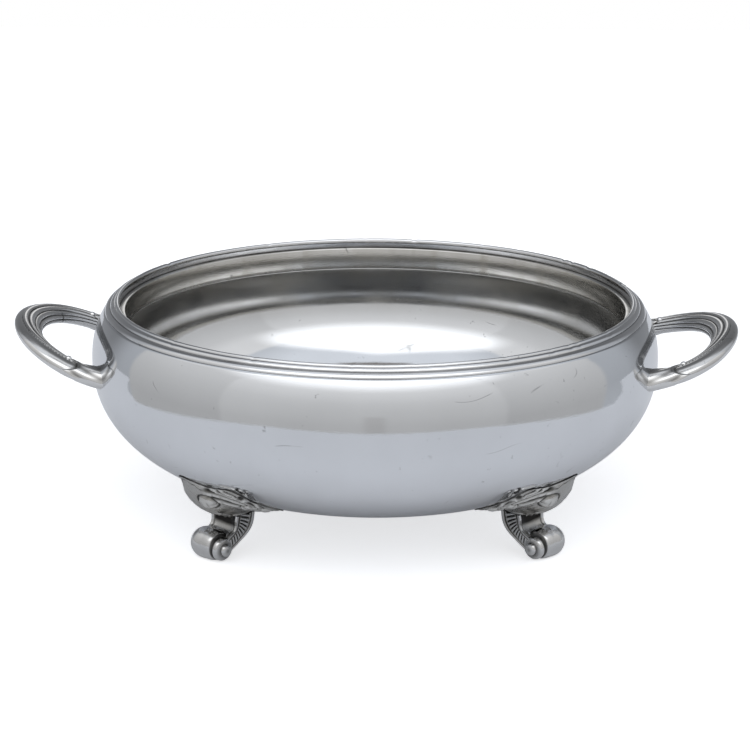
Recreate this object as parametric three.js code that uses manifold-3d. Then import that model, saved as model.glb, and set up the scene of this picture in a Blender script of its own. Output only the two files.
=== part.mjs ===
// Round individual casserole dish in plated metal: a squat bowl with a reeded rim and a seat for
// a cover, two reeded loop handles and four scroll feet under leaf mounts.
// Millimetres, +Z up. The origin is on the bowl's axis, on the surface that the feet stand on.
import * as THREE from "three";
import { mergeVertices } from "three/addons/utils/BufferGeometryUtils.js";
import Module from "manifold-3d";

const wasm = await Module();
wasm.setup();

// Clearance between soldered pieces, the distance within which points are one, and the steps
// that every turned piece has round its axis.
const SOLDER_GAP = 0.3;
const WELD_DISTANCE = 0.0001;
const TURN_STEPS = 56;

// Bowl: a bulging side over a broad, nearly flat underside, carried clear of the table.
const BOWL_RADIUS = 100;
const BOWL_CLEARANCE = 10.8;
const BOWL_LOWER_DEPTH = 45.7;
const BOWL_SHOULDER_RISE = 17.9;
const BOWL_MOUTH_INSET = 4.4;
const BOWL_WALL = 1.2;
const BOWL_SIDE_POWER = 2.16;
const BOWL_UNDERSIDE_POWER = 2.85;
const BOWL_SHOULDER_POWER = 2.45;

// Reeded rim: a thin lip bead inside, then two reeds that step outwards and down to the mouth.
const LIP_RUN = 1.6;
const LIP_RISE = 0.7;
const UPPER_REED_RUN = 1.6;
const UPPER_REED_DROP = 1.3;
const LOWER_REED_RUN = 1.9;
const LOWER_REED_DROP = 1.3;
const REED_RISE = 0.5;
const REED_POWER = 0.7;
const RIM_SPIGOT_LENGTH = 1.5;

// Seat ring: a band inside the mouth whose top edge is the ledge that the cover rests on.
const SEAT_LEDGE_WIDTH = 2;
const SEAT_DEPTH = 3.4;
const SEAT_BAND_HEIGHT = 8.5;
const SEAT_EDGE_BEVEL = 0.4;

// Loop handle: its centre line from the roots, sunk in the bowl's skin, out to the tip, its
// climb, and its section at the tip and at the roots.
const HANDLE_ROOT_SINK = 0.7;
const HANDLE_ROOT_DROP = 1.7;
const HANDLE_HALF_SPREAD = 33.5;
const HANDLE_REACH = 24.2;
const HANDLE_CLIMB = 11.5;
const HANDLE_TAIL = 5;
const HANDLE_TIP_WIDTH = 10.2;
const HANDLE_ROOT_WIDTH = 8.4;
const HANDLE_THICKNESS = 5.6;
const HANDLE_LEAN = THREE.MathUtils.degToRad(33);
const HANDLE_BEND_POWER = 0.8;
const HANDLE_CLIMB_POWER = 1.15;

// The reeds on the handle: where their band starts at the roots and at the tip, and where it
// ends, going round the section from its outer side over the top.
const HANDLE_REEDS = 5;
const HANDLE_REED_RISE = 0.5;
const HANDLE_REED_SHOULDER_SHARE = 0.3;
const HANDLE_BAND_ROOT_START = THREE.MathUtils.degToRad(100);
const HANDLE_BAND_TIP_START = THREE.MathUtils.degToRad(62);
const HANDLE_BAND_END = THREE.MathUtils.degToRad(190);

// Leaf sheath that each handle root grows out of, thickest on top, and the bead at the tip of
// its leaf, placed by its turn round the section.
const SHEATH_TIP_STAND = 0.9;
const SHEATH_ROOT_STAND = 2.4;
const SHEATH_ROOT_LIFT = 1.1;
const SHEATH_START_SHARE = 0.77;
const SHEATH_BEAD_RADIUS = 1.2;
const SHEATH_BEAD_TURN = THREE.MathUtils.degToRad(118);

// Scroll foot: a band that drops from the leaf mount, sweeps outwards and rolls up into a
// bolster. At each end of the bolster a ring and a knob sit lower than its middle.
const FOOT_INSET = 20.5;
const FOOT_JOINT_RISE = 4;
const FOOT_FLAT_DEPTH = 0.3;
const SCROLL_RADIUS = 5.3;
const SCROLL_SHOULDER_RADIUS = 4.4;
const SCROLL_BOLSTER_HALF = 3.6;
const SCROLL_BOLSTER_SHARES = [0.3, 0.7, 0.92, 1];
const SCROLL_RING_RADIUS = 3.8;
const SCROLL_RING_WIDTH = 2.5;
const SCROLL_RING_DROP = 0.6;
const SCROLL_KNOB_RADIUS = 2.3;
const SCROLL_KNOB_LENGTH = 1.8;
const SCROLL_ROUNDING = 0.4;
const SCROLL_GROOVE_DEPTH = 0.6;
const SCROLL_GROOVE_WIDTH = 0.3;
const SHANK_OVERRUN = 2;
const SHANK_TOP_SETBACK = 9.85;
const SHANK_KNEE_SETBACK = 10;
const SHANK_KNEE_DROP = 5.9;
const SHANK_TOE_SETBACK = 6.1;
const SHANK_TOE_HEIGHT = 7.3;
const SHANK_END_HEIGHT = 4.3;
const SHANK_TOP_DEPTH = 7.9;
const SHANK_END_DEPTH = 4.6;
const SHANK_TAPER_SHARES = [0.2, 0.65];
const SHANK_TOP_WIDTH = 13;
const SHANK_END_WIDTH = 12.2;
const SHANK_HOLLOW = 1.1;
const SHANK_RAIL_WIDTH = 1.4;

// Leaf mount between bowl and foot: a fan of lobes that lies thinly on the bowl's underside and
// swells into a hood over the foot.
const LEAF_CENTRE_LEAD = 7.75;
const LEAF_HALF_WIDTH = 18;
const LEAF_RISE_LENGTH = 13.5;
const LEAF_UNDER_LENGTH = 16;
const LEAF_OUTLINE_POWER = 2.1;
const LEAF_DOME = 6.6;
const LEAF_DOME_POWER = 1.5;
const LEAF_EDGE = 0.9;
const LEAF_ROOT_DEPTH = 0.6;
const LEAF_LOBES = 9;
const LEAF_RIB_RISE = 0.6;
const LEAF_NOTCH_SHARE = 0.14;
const LEAF_RING_SHARES = [0.08, 0.3, 0.52, 0.76, 1];
const LEAF_STUB_MARGIN = 0.8;

const MOUTH_RADIUS = BOWL_RADIUS - BOWL_MOUTH_INSET;
const LIP_BORE_RADIUS = MOUTH_RADIUS - LIP_RUN - UPPER_REED_RUN - LOWER_REED_RUN;
const BOWL_WIDEST_HEIGHT = BOWL_CLEARANCE + BOWL_LOWER_DEPTH;
const MOUTH_HEIGHT = BOWL_WIDEST_HEIGHT + BOWL_SHOULDER_RISE;
const RIM_BASE_HEIGHT = MOUTH_HEIGHT + SOLDER_GAP;
const RIM_HEIGHT = RIM_BASE_HEIGHT + LOWER_REED_DROP + UPPER_REED_DROP + LIP_RISE;
const SEAT_BORE_RADIUS = LIP_BORE_RADIUS - SEAT_LEDGE_WIDTH;
const HANDLE_ROOT_HEIGHT = BOWL_WIDEST_HEIGHT - HANDLE_ROOT_DROP;
const HANDLE_ROOT_X = Math.sqrt((BOWL_RADIUS - HANDLE_ROOT_SINK) ** 2 - HANDLE_HALF_SPREAD ** 2);
const FOOT_RADIUS = BOWL_RADIUS - FOOT_INSET;
const FOOT_TOP_HEIGHT = BOWL_CLEARANCE + FOOT_JOINT_RISE;
const SHANK_TOP_RADIUS = FOOT_RADIUS - SHANK_TOP_SETBACK;

const at = (x, y) => new THREE.Vector2(x, y);
const lerp = THREE.MathUtils.lerp;

// A closed mesh as a solid that can be joined and cut, with its faces turned outwards.
function solidOf(geometry) {
  const bare = new THREE.BufferGeometry();
  const flat = geometry.index ? geometry.toNonIndexed() : geometry;
  bare.setAttribute("position", flat.getAttribute("position"));
  const merged = mergeVertices(bare, WELD_DISTANCE);
  const corners = merged.index.array;
  const triVerts = [];
  for (let i = 0; i < corners.length; i += 3) {
    const [a, b, c] = corners.slice(i, i + 3);
    if (a !== b && b !== c && c !== a) triVerts.push(a, b, c);
  }
  const vertProperties = merged.getAttribute("position").array;
  const build = (list) =>
    new wasm.Manifold(
      new wasm.Mesh({ numProp: 3, vertProperties, triVerts: new Uint32Array(list) }),
    );
  const solid = build(triVerts);
  return solid.volume() < 0 ? build(triVerts.reverse()) : solid;
}

function geometryOf(solid) {
  const { vertProperties, triVerts, numProp } = solid.getMesh();
  const geometry = new THREE.BufferGeometry();
  const positions = new Float32Array((vertProperties.length / numProp) * 3);
  for (let i = 0; i < positions.length / 3; i++) {
    positions.set(vertProperties.subarray(i * numProp, i * numProp + 3), i * 3);
  }
  geometry.setAttribute("position", new THREE.BufferAttribute(positions, 3));
  geometry.setIndex(new THREE.BufferAttribute(triVerts, 1));
  geometry.computeVertexNormals();
  return geometry;
}

// A profile of (radius, height) points turned about the Z axis.
function turn(profile, steps = TURN_STEPS) {
  return new THREE.LatheGeometry(profile, steps).rotateX(Math.PI / 2);
}

// A skin over rings of points, each ring with the same count, closed by a fan at both ends.
function loft(rings) {
  const count = rings[0].length;
  const positions = rings.flat().flatMap((p) => p.toArray());
  const index = [];
  for (let i = 0; i < rings.length - 1; i++) {
    for (let j = 0; j < count; j++) {
      const a = i * count + j;
      const b = i * count + ((j + 1) % count);
      index.push(a, a + count, b, b, a + count, b + count);
    }
  }
  for (const [ring, first] of [
    [rings[0], 0],
    [rings.at(-1), (rings.length - 1) * count],
  ]) {
    const hub = positions.length / 3;
    const centre = ring.reduce((sum, p) => sum.add(p), new THREE.Vector3());
    positions.push(...centre.divideScalar(count).toArray());
    for (let j = 0; j < count; j++) {
      const pair = [first + j, first + ((j + 1) % count)];
      if (first) pair.reverse();
      index.push(hub, ...pair);
    }
  }
  const geometry = new THREE.BufferGeometry();
  geometry.setAttribute("position", new THREE.Float32BufferAttribute(positions, 3));
  geometry.setIndex(index);
  return geometry;
}

// The bowl's outer surface below its widest level: angle 0 is the widest, 90 degrees the axis.
function bowlUnder(angle) {
  const out = Math.max(Math.cos(angle), 0) ** (2 / BOWL_UNDERSIDE_POWER);
  const down = Math.sin(angle) ** (2 / BOWL_SIDE_POWER);
  return at(BOWL_RADIUS * out, BOWL_WIDEST_HEIGHT - BOWL_LOWER_DEPTH * down);
}

function bowlUnderAngle(radius) {
  return Math.acos((radius / BOWL_RADIUS) ** (BOWL_UNDERSIDE_POWER / 2));
}

function bowlShoulder(share) {
  const radius = lerp(BOWL_RADIUS, MOUTH_RADIUS, share ** BOWL_SHOULDER_POWER);
  return at(radius, lerp(BOWL_WIDEST_HEIGHT, MOUTH_HEIGHT, share));
}

// Points of the bowl's outside from the axis, under the bowl and up to the mouth.
function bowlOutside(underSteps, shoulderSteps) {
  const points = [];
  for (let i = underSteps; i > 0; i--) {
    points.push(bowlUnder((i / underSteps) * (Math.PI / 2)));
  }
  for (let i = 0; i <= shoulderSteps; i++) {
    points.push(bowlShoulder(i / shoulderSteps));
  }
  points[0].x = 0;
  return points;
}

// The same points moved along their normals: outwards for a positive distance. The first stays
// on the axis and the last stays level with the mouth.
function offsetOutside(points, distance) {
  const last = points.length - 1;
  return points.map((point, i) => {
    const along = points[Math.min(i + 1, last)].clone().sub(points[Math.max(i - 1, 0)]);
    const normal = at(along.y, -along.x).normalize();
    if (i === 0) return at(0, point.y - distance);
    if (i === last) return at(point.x + distance / normal.x, point.y);
    return point.clone().addScaledVector(normal, distance);
  });
}

// Points of the bowl's inside, from the axis up to the mouth.
function bowlInside() {
  return offsetOutside(bowlOutside(7, 3), -BOWL_WALL);
}

function bowlShape() {
  return turn([...bowlOutside(10, 5), ...bowlInside().reverse()]);
}

// Everything inside the bowl's outer surface grown by the solder gap: it trims what sits on it.
function bowlTrim() {
  const skin = offsetOutside(bowlOutside(24, 6), SOLDER_GAP);
  return solidOf(turn([...skin, at(0, skin.at(-1).y)]));
}

// A reed's outline: an arc from one groove to the next that stands proud by the rise.
function reed(from, to, rise, steps) {
  const chord = to.clone().sub(from);
  const outward = at(-chord.y, chord.x).normalize();
  const points = [];
  for (let i = 1; i <= steps; i++) {
    const share = i / steps;
    const lift = rise * Math.sin(Math.PI * share) ** REED_POWER;
    points.push(from.clone().addScaledVector(chord, share).addScaledVector(outward, lift));
  }
  return points;
}

function rimShape() {
  const spigotRadius = bowlInside().at(-1).x - SOLDER_GAP;
  const spigotHeight = RIM_BASE_HEIGHT - RIM_SPIGOT_LENGTH;
  const lip = at(LIP_BORE_RADIUS, RIM_HEIGHT - LIP_RISE);
  const first = at(lip.x + LIP_RUN, lip.y);
  const second = at(first.x + UPPER_REED_RUN, first.y - UPPER_REED_DROP);
  const third = at(MOUTH_RADIUS, RIM_BASE_HEIGHT);
  return turn([
    at(spigotRadius, third.y),
    at(spigotRadius, spigotHeight),
    at(LIP_BORE_RADIUS, spigotHeight),
    lip,
    ...reed(lip, first, LIP_RISE, 3),
    ...reed(first, second, REED_RISE, 4),
    ...reed(second, third, REED_RISE, 4),
    at(spigotRadius, third.y),
  ].reverse());
}

function seatShape() {
  const top = RIM_HEIGHT - SEAT_DEPTH;
  const bottom = top - SEAT_BAND_HEIGHT;
  const outer = LIP_BORE_RADIUS - SOLDER_GAP;
  const start = at(outer, bottom);
  return turn([
    start,
    at(outer, top),
    at(SEAT_BORE_RADIUS, top),
    at(SEAT_BORE_RADIUS, bottom + SEAT_EDGE_BEVEL),
    at(SEAT_BORE_RADIUS + SEAT_EDGE_BEVEL, bottom),
    start.clone(),
  ]);
}

// The handle's centre line: -1 and 1 are the roots, 0 is the tip.
function handlePoint(t) {
  const turnAngle = (t * Math.PI) / 2;
  const reach = Math.max(Math.cos(turnAngle), 0) ** HANDLE_BEND_POWER;
  return new THREE.Vector3(
    lerp(HANDLE_ROOT_X, BOWL_RADIUS + HANDLE_REACH, reach),
    HANDLE_HALF_SPREAD * Math.sin(turnAngle),
    HANDLE_ROOT_HEIGHT + HANDLE_CLIMB * reach ** HANDLE_CLIMB_POWER,
  );
}

// The place and the outward and upward directions of the handle's section at t.
function handleFrame(t) {
  const stepShare = 0.01;
  const ahead = handlePoint(Math.min(t + stepShare, 1));
  const along = ahead.sub(handlePoint(Math.max(t - stepShare, -1))).normalize();
  const lean = new THREE.Vector3(-Math.sin(HANDLE_LEAN), 0, Math.cos(HANDLE_LEAN));
  const outward = new THREE.Vector3().crossVectors(along, lean).normalize();
  const upward = new THREE.Vector3().crossVectors(outward, along).normalize();
  return { place: handlePoint(t), outward, upward };
}

function placeSection(frame, section) {
  return section.map((p) =>
    frame.place
      .clone()
      .addScaledVector(frame.outward, p.x)
      .addScaledVector(frame.upward, p.y),
  );
}

function oval(width, height, steps) {
  const points = [];
  for (let i = 0; i < steps; i++) {
    const angle = (i / steps) * 2 * Math.PI;
    points.push(at((width / 2) * Math.cos(angle), (height / 2) * Math.sin(angle)));
  }
  return points;
}

// The handle's section: a smooth roll outside and below, and reeds over the top and the inside.
// The reeded band is widest at the tip, where the reeds spread.
function reededSection(width, height, bandStart, bandEnd) {
  const points = [];
  const pitch = (bandEnd - bandStart) / HANDLE_REEDS;
  const shoulder = pitch * HANDLE_REED_SHOULDER_SHARE;
  const onOval = (angle, rise) =>
    at((width / 2 + rise) * Math.cos(angle), (height / 2 + rise) * Math.sin(angle));
  for (let i = 0; i < HANDLE_REEDS; i++) {
    const angle = bandStart + i * pitch;
    points.push(onOval(angle, 0));
    points.push(onOval(angle + shoulder, HANDLE_REED_RISE));
    points.push(onOval(angle + pitch - shoulder, HANDLE_REED_RISE));
  }
  const rollSteps = 6;
  const roll = bandStart + 2 * Math.PI - bandEnd;
  for (let i = 0; i < rollSteps; i++) {
    points.push(onOval(bandEnd + (i / rollSteps) * roll, 0));
  }
  return points;
}

function handleSection(t) {
  const tipward = Math.cos((t * Math.PI) / 2);
  const width = lerp(HANDLE_ROOT_WIDTH, HANDLE_TIP_WIDTH, tipward);
  const bandStart = lerp(HANDLE_BAND_ROOT_START, HANDLE_BAND_TIP_START, tipward);
  return reededSection(width, HANDLE_THICKNESS, bandStart, HANDLE_BAND_END);
}

// The arm runs on past its root, so that trimming it to the bowl leaves no hollow behind it.
function handleArm() {
  const steps = 20;
  const rings = [];
  for (let i = 0; i <= steps; i++) {
    const t = (2 * i) / steps - 1;
    rings.push(placeSection(handleFrame(t), handleSection(t)));
  }
  const tail = (ring) => ring.map((p) => p.clone().setX(p.x - HANDLE_TAIL));
  return loft([tail(rings[0]), ...rings, tail(rings.at(-1))]);
}

function handleSheath(side) {
  const steps = 4;
  const rings = [];
  for (let i = 0; i <= steps; i++) {
    const share = i / steps;
    const t = side * lerp(SHEATH_START_SHARE, 1, share);
    const stand = lerp(SHEATH_TIP_STAND, SHEATH_ROOT_STAND, share * share);
    const grown = i === 0 ? 0 : stand;
    const lift = at(0, SHEATH_ROOT_LIFT * share * share);
    const section = oval(HANDLE_ROOT_WIDTH + grown, HANDLE_THICKNESS + grown, 12);
    rings.push(placeSection(handleFrame(t), section.map((p) => p.add(lift))));
  }
  rings.push(rings.at(-1).map((p) => p.clone().setX(p.x - HANDLE_TAIL)));
  return loft(rings);
}

function sheathBead(side) {
  const frame = handleFrame(side * SHEATH_START_SHARE);
  const bead = new THREE.IcosahedronGeometry(SHEATH_BEAD_RADIUS, 1);
  const spot = at(
    (HANDLE_ROOT_WIDTH / 2) * Math.cos(SHEATH_BEAD_TURN),
    (HANDLE_THICKNESS / 2) * Math.sin(SHEATH_BEAD_TURN),
  );
  return bead.translate(...placeSection(frame, [spot])[0].toArray());
}

function handleShape(trim) {
  let solid = solidOf(handleArm());
  for (const side of [-1, 1]) {
    solid = solid.add(solidOf(handleSheath(side))).add(solidOf(sheathBead(side)));
  }
  return geometryOf(solid.subtract(trim));
}

// Half of the bolster's outline: rounded from its middle to its shoulder.
function bolsterHalf() {
  const outline = SCROLL_BOLSTER_SHARES.map((share) => {
    const swell = Math.sqrt(1 - share ** 2);
    const radius = lerp(SCROLL_SHOULDER_RADIUS, SCROLL_RADIUS, swell);
    return at(radius, SCROLL_BOLSTER_HALF * share);
  });
  return [...outline, at(0, SCROLL_BOLSTER_HALF)];
}

// Half of the stepped ends' outline: a ring, then a knob, each set off by a groove.
function stepHalf() {
  const ringStart = SCROLL_BOLSTER_HALF + SCROLL_GROOVE_WIDTH;
  const ringEnd = SCROLL_BOLSTER_HALF + SCROLL_RING_WIDTH;
  const knobStart = ringEnd + SCROLL_GROOVE_WIDTH;
  const knobEnd = knobStart + SCROLL_KNOB_LENGTH;
  return [
    at(SCROLL_RING_RADIUS - SCROLL_GROOVE_DEPTH, SCROLL_BOLSTER_HALF),
    at(SCROLL_RING_RADIUS - SCROLL_ROUNDING, ringStart),
    at(SCROLL_RING_RADIUS, (ringStart + ringEnd) / 2),
    at(SCROLL_RING_RADIUS - SCROLL_ROUNDING, ringEnd),
    at(SCROLL_KNOB_RADIUS - SCROLL_GROOVE_DEPTH, ringEnd),
    at(SCROLL_KNOB_RADIUS, knobStart),
    at(SCROLL_KNOB_RADIUS, knobEnd - SCROLL_ROUNDING),
    at(SCROLL_KNOB_RADIUS - SCROLL_ROUNDING, knobEnd),
    at(0, knobEnd),
  ];
}

// A half outline mirrored and turned about the scroll's axis.
function scrollTurning(half, steps, height) {
  const mirrored = half.map((p) => at(p.x, -p.y)).reverse();
  return new THREE.LatheGeometry([...mirrored, ...half], steps).translate(0, 0, height);
}

function scrollSolid() {
  const height = SCROLL_RADIUS - FOOT_FLAT_DEPTH;
  const bolster = scrollTurning(bolsterHalf(), 16, height);
  const ends = scrollTurning(stepHalf(), 12, height - SCROLL_RING_DROP);
  return solidOf(bolster).add(solidOf(ends));
}

// The shank's section: x across the foot, y towards its front, which is hollow between rails.
function shankSection(width, depth, hollow) {
  const half = width / 2;
  const rail = half - SHANK_RAIL_WIDTH;
  const front = depth / 2;
  return [
    at(-half, -front),
    at(half, -front),
    at(half, front),
    at(rail, front),
    at(rail / 2, front - hollow),
    at(-rail / 2, front - hollow),
    at(-rail, front),
    at(-half, front),
  ];
}

// The shank's centre line starts above the joint with the leaf mount, where the slab trims it.
function shankShape() {
  const curve = new THREE.CubicBezierCurve3(
    new THREE.Vector3(-SHANK_TOP_SETBACK, 0, FOOT_TOP_HEIGHT + SHANK_OVERRUN),
    new THREE.Vector3(-SHANK_KNEE_SETBACK, 0, FOOT_TOP_HEIGHT - SHANK_KNEE_DROP),
    new THREE.Vector3(-SHANK_TOE_SETBACK, 0, SHANK_TOE_HEIGHT),
    new THREE.Vector3(0, 0, SHANK_END_HEIGHT),
  );
  const steps = 8;
  const rings = [];
  for (let i = 0; i <= steps; i++) {
    const t = i / steps;
    const place = curve.getPoint(t);
    const along = curve.getTangent(t);
    const front = new THREE.Vector3(-along.z, 0, along.x);
    const width = lerp(SHANK_TOP_WIDTH, SHANK_END_WIDTH, t);
    const taper = THREE.MathUtils.smoothstep(t, ...SHANK_TAPER_SHARES);
    const depth = lerp(SHANK_TOP_DEPTH, SHANK_END_DEPTH, taper);
    const section = shankSection(width, depth, SHANK_HOLLOW * (1 - t));
    rings.push(
      section.map((p) =>
        place.clone().addScaledVector(front, p.y).add(new THREE.Vector3(0, p.x, 0)),
      ),
    );
  }
  return loft(rings);
}

// A block between two heights, wide enough to trim a whole foot.
function slab(from, to) {
  const size = 2 * (SHANK_TOP_WIDTH + SHANK_TOP_SETBACK + SHANK_TOP_DEPTH + SCROLL_RADIUS);
  const block = new THREE.BoxGeometry(size, size, to - from);
  return solidOf(block.translate(0, 0, (from + to) / 2));
}

function footShape() {
  const floor = slab(-SCROLL_RADIUS, 0);
  const joint = slab(FOOT_TOP_HEIGHT, FOOT_TOP_HEIGHT + SHANK_TOP_DEPTH);
  const solid = solidOf(shankShape()).add(scrollSolid());
  return geometryOf(solid.subtract(floor).subtract(joint));
}

// The middle of the leaf mount lies further out than the shank's top, by the lead.
const leafCentreRadius = SHANK_TOP_RADIUS + LEAF_CENTRE_LEAD;
const leafCentreAngle = bowlUnderAngle(leafCentreRadius);

// The length along the bowl's outside for one radian of the angle, near the leaf's centre.
function underLengthPerAngle() {
  const stepAngle = THREE.MathUtils.degToRad(3);
  const a = bowlUnder(leafCentreAngle - stepAngle);
  return a.distanceTo(bowlUnder(leafCentreAngle + stepAngle)) / (2 * stepAngle);
}

// A point over the bowl's underside: across the foot, up along the bowl, and out from it.
function overBowl(across, up, out) {
  const angle = leafCentreAngle - up / underLengthPerAngle();
  const stepAngle = THREE.MathUtils.degToRad(0.5);
  const place = bowlUnder(angle);
  const along = bowlUnder(angle - stepAngle).sub(bowlUnder(angle + stepAngle));
  const normal = at(along.y, -along.x).normalize();
  const spot = place.addScaledVector(normal, out);
  const azimuth = across / leafCentreRadius;
  return new THREE.Vector3(
    spot.x * Math.cos(azimuth),
    spot.x * Math.sin(azimuth),
    spot.y,
  );
}

// The fan of lobes: rings of points from the middle of the dome to the notched edge, and back
// underneath, inside the bowl's skin, where the trim cuts it to fit.
function leafFan() {
  const stepsRound = LEAF_LOBES * 4;
  const squared = (value) => Math.sign(value) * Math.abs(value) ** (2 / LEAF_OUTLINE_POWER);
  const ring = (share, out) => {
    const points = [];
    for (let i = 0; i < stepsRound; i++) {
      const angle = (i / stepsRound) * 2 * Math.PI;
      const lobe = Math.abs(Math.cos((LEAF_LOBES * angle) / 2));
      const reach = share * (1 - LEAF_NOTCH_SHARE * share * (1 - lobe));
      const length = Math.cos(angle) > 0 ? LEAF_RISE_LENGTH : LEAF_UNDER_LENGTH;
      const across = LEAF_HALF_WIDTH * squared(Math.sin(angle)) * reach;
      const rib = out > 0 ? LEAF_RIB_RISE * share * lobe : 0;
      points.push(overBowl(across, length * squared(Math.cos(angle)) * reach, out + rib));
    }
    return points;
  };
  const dome = (share) => lerp(LEAF_EDGE, LEAF_DOME, (1 - share ** 2) ** LEAF_DOME_POWER);
  const rings = LEAF_RING_SHARES.map((share) => ring(share, dome(share)));
  rings.push(ring(1, -LEAF_ROOT_DEPTH), ring(LEAF_RING_SHARES[0], -LEAF_ROOT_DEPTH));
  return loft(rings);
}

// The stub under the leaves that the foot's shank is soldered to. It runs up to the bowl.
function leafStub() {
  const width = SHANK_TOP_WIDTH + LEAF_STUB_MARGIN;
  const depth = SHANK_TOP_DEPTH + LEAF_STUB_MARGIN;
  const bottom = FOOT_TOP_HEIGHT + SOLDER_GAP;
  const top = bowlUnder(bowlUnderAngle(SHANK_TOP_RADIUS + depth / 2)).y;
  const stub = new THREE.BoxGeometry(depth, width, top - bottom);
  return stub.translate(SHANK_TOP_RADIUS, 0, (bottom + top) / 2);
}

function leafShape(trim) {
  const below = slab(-SCROLL_RADIUS, FOOT_TOP_HEIGHT + SOLDER_GAP);
  const solid = solidOf(leafFan()).add(solidOf(leafStub()));
  return geometryOf(solid.subtract(trim).subtract(below.translate([FOOT_RADIUS, 0, 0])));
}

function metal(color, roughness) {
  return new THREE.MeshStandardMaterial({ color, roughness, metalness: 1 });
}

const polishedPlate = () => metal(0xc9ccd3, 0.14);
const warmPlate = () => metal(0xc4c2ba, 0.2);
const wornPlate = () => metal(0xb9b9b8, 0.24);
const agedPlate = () => metal(0xa7a6a3, 0.3);

function piece(name, geometry, material) {
  const mesh = new THREE.Mesh(geometry, material);
  mesh.name = name;
  return mesh;
}

const dish = new THREE.Group();
dish.add(piece("bowl", bowlShape(), polishedPlate()));
dish.add(piece("reeded_rim", rimShape(), polishedPlate()));
dish.add(piece("seat_ring", seatShape(), warmPlate()));

const trim = bowlTrim();
const handle = handleShape(trim);
for (const [side, heading] of [["right", 0], ["left", Math.PI]]) {
  const holder = new THREE.Group();
  holder.rotation.z = heading;
  holder.add(piece("handle_" + side, handle, wornPlate()));
  dish.add(holder);
}

const foot = footShape();
const leaf = leafShape(trim);
const corners = ["back_right", "back_left", "front_left", "front_right"];
corners.forEach((corner, i) => {
  const holder = new THREE.Group();
  holder.rotation.z = Math.PI / 4 + (i * Math.PI) / 2;
  const scrollFoot = piece("foot_" + corner, foot, agedPlate());
  scrollFoot.position.x = FOOT_RADIUS;
  holder.add(piece("leaf_" + corner, leaf, agedPlate()), scrollFoot);
  dish.add(holder);
});

export default dish;
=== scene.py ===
"""Looks of a round plated casserole dish: bowl, rim, seat ring, handles, leaf mounts and feet."""

import math

import bmesh
import bpy
from mathutils import Euler, Matrix, Vector, noise


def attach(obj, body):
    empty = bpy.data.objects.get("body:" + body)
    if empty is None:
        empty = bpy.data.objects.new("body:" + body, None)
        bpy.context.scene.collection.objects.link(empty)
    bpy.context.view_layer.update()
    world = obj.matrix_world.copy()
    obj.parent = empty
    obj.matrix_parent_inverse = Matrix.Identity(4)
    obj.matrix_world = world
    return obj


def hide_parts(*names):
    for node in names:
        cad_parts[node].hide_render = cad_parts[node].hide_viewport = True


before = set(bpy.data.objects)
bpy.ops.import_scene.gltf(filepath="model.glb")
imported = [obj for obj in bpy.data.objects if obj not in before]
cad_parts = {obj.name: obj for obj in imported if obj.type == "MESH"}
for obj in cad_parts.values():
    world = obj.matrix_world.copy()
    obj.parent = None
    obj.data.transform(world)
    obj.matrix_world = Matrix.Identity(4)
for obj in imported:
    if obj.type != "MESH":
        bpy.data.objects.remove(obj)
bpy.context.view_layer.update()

MM = 0.001

# A point of a profile with a smaller radius, in millimetres, lies on the axis
ON_AXIS = 1e-6

# Mesh helpers


def smoothstep(a, b, x):
    t = min(max((x - a) / (b - a), 0.0), 1.0)
    return t * t * (3 - 2 * t)


def lerp(a, b, t):
    return a + (b - a) * t


def between(x, start, full, fade, end):
    """1 from full to fade, and nothing before start or after end."""
    return smoothstep(start, full, x) * smoothstep(end, fade, x)


def bell(x, width):
    return math.exp(-((x / width) ** 2))


def grime_and_shade_layer(mesh, grime_and_shade):
    """Stores the wear and painted shade at each vertex: red is dark grime together with painted
    shade in grooves, creases and recesses, green is warm tarnish.
    """
    layer = mesh.color_attributes.new("grime_and_shade", "FLOAT_COLOR", "POINT")
    values = []
    for g in grime_and_shade:
        dark, warm = g if isinstance(g, tuple) else (g, 0.0)
        values += [min(max(dark, 0.0), 1.0), min(max(warm, 0.0), 1.0), 0.0, 1.0]
    layer.data.foreach_set("color", values)


def new_object(name, verts, faces, grime_and_shade, sharp):
    """A smooth object from vertices in millimetres, with creases past an angle in degrees."""
    mesh = bpy.data.meshes.new(name)
    mesh.from_pydata([tuple(c * MM for c in v) for v in verts], [], faces)
    mesh.validate()
    mesh.polygons.foreach_set("use_smooth", [True] * len(mesh.polygons))
    mesh.set_sharp_from_angle(angle=math.radians(sharp))
    grime_and_shade_layer(mesh, grime_and_shade)
    obj = bpy.data.objects.new(name, mesh)
    bpy.context.scene.collection.objects.link(obj)
    return obj


def turned(name, profile, steps, grime_and_shade, sharp, closed=True, worn=None):
    """A profile of (radius, height) turned about Z; points on the axis become one vertex.

    worn, if given, says where a point (radius, height) is at an azimuth.
    """
    verts, faces, shade, rows = [], [], [], []
    for (r, z), g in zip(profile, grime_and_shade):
        if r < ON_AXIS:
            rows.append([len(verts)] * steps)
            verts.append((0.0, 0.0, z))
            shade.append(g)
            continue
        rows.append(list(range(len(verts), len(verts) + steps)))
        for i in range(steps):
            a = 2 * math.pi * i / steps
            far, high = worn(r, z, a) if worn else (r, z)
            verts.append((far * math.cos(a), far * math.sin(a), high))
            shade.append(g)
    pairs = list(zip(rows, rows[1:]))
    if closed:
        pairs.append((rows[-1], rows[0]))
    for low, high in pairs:
        for i in range(steps):
            j = (i + 1) % steps
            quad = [low[i], low[j], high[j], high[i]]
            face = []
            for v in quad:
                if v not in face:
                    face.append(v)
            if len(face) > 2:
                faces.append(face)
    return new_object(name, verts, faces, shade, sharp)


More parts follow.
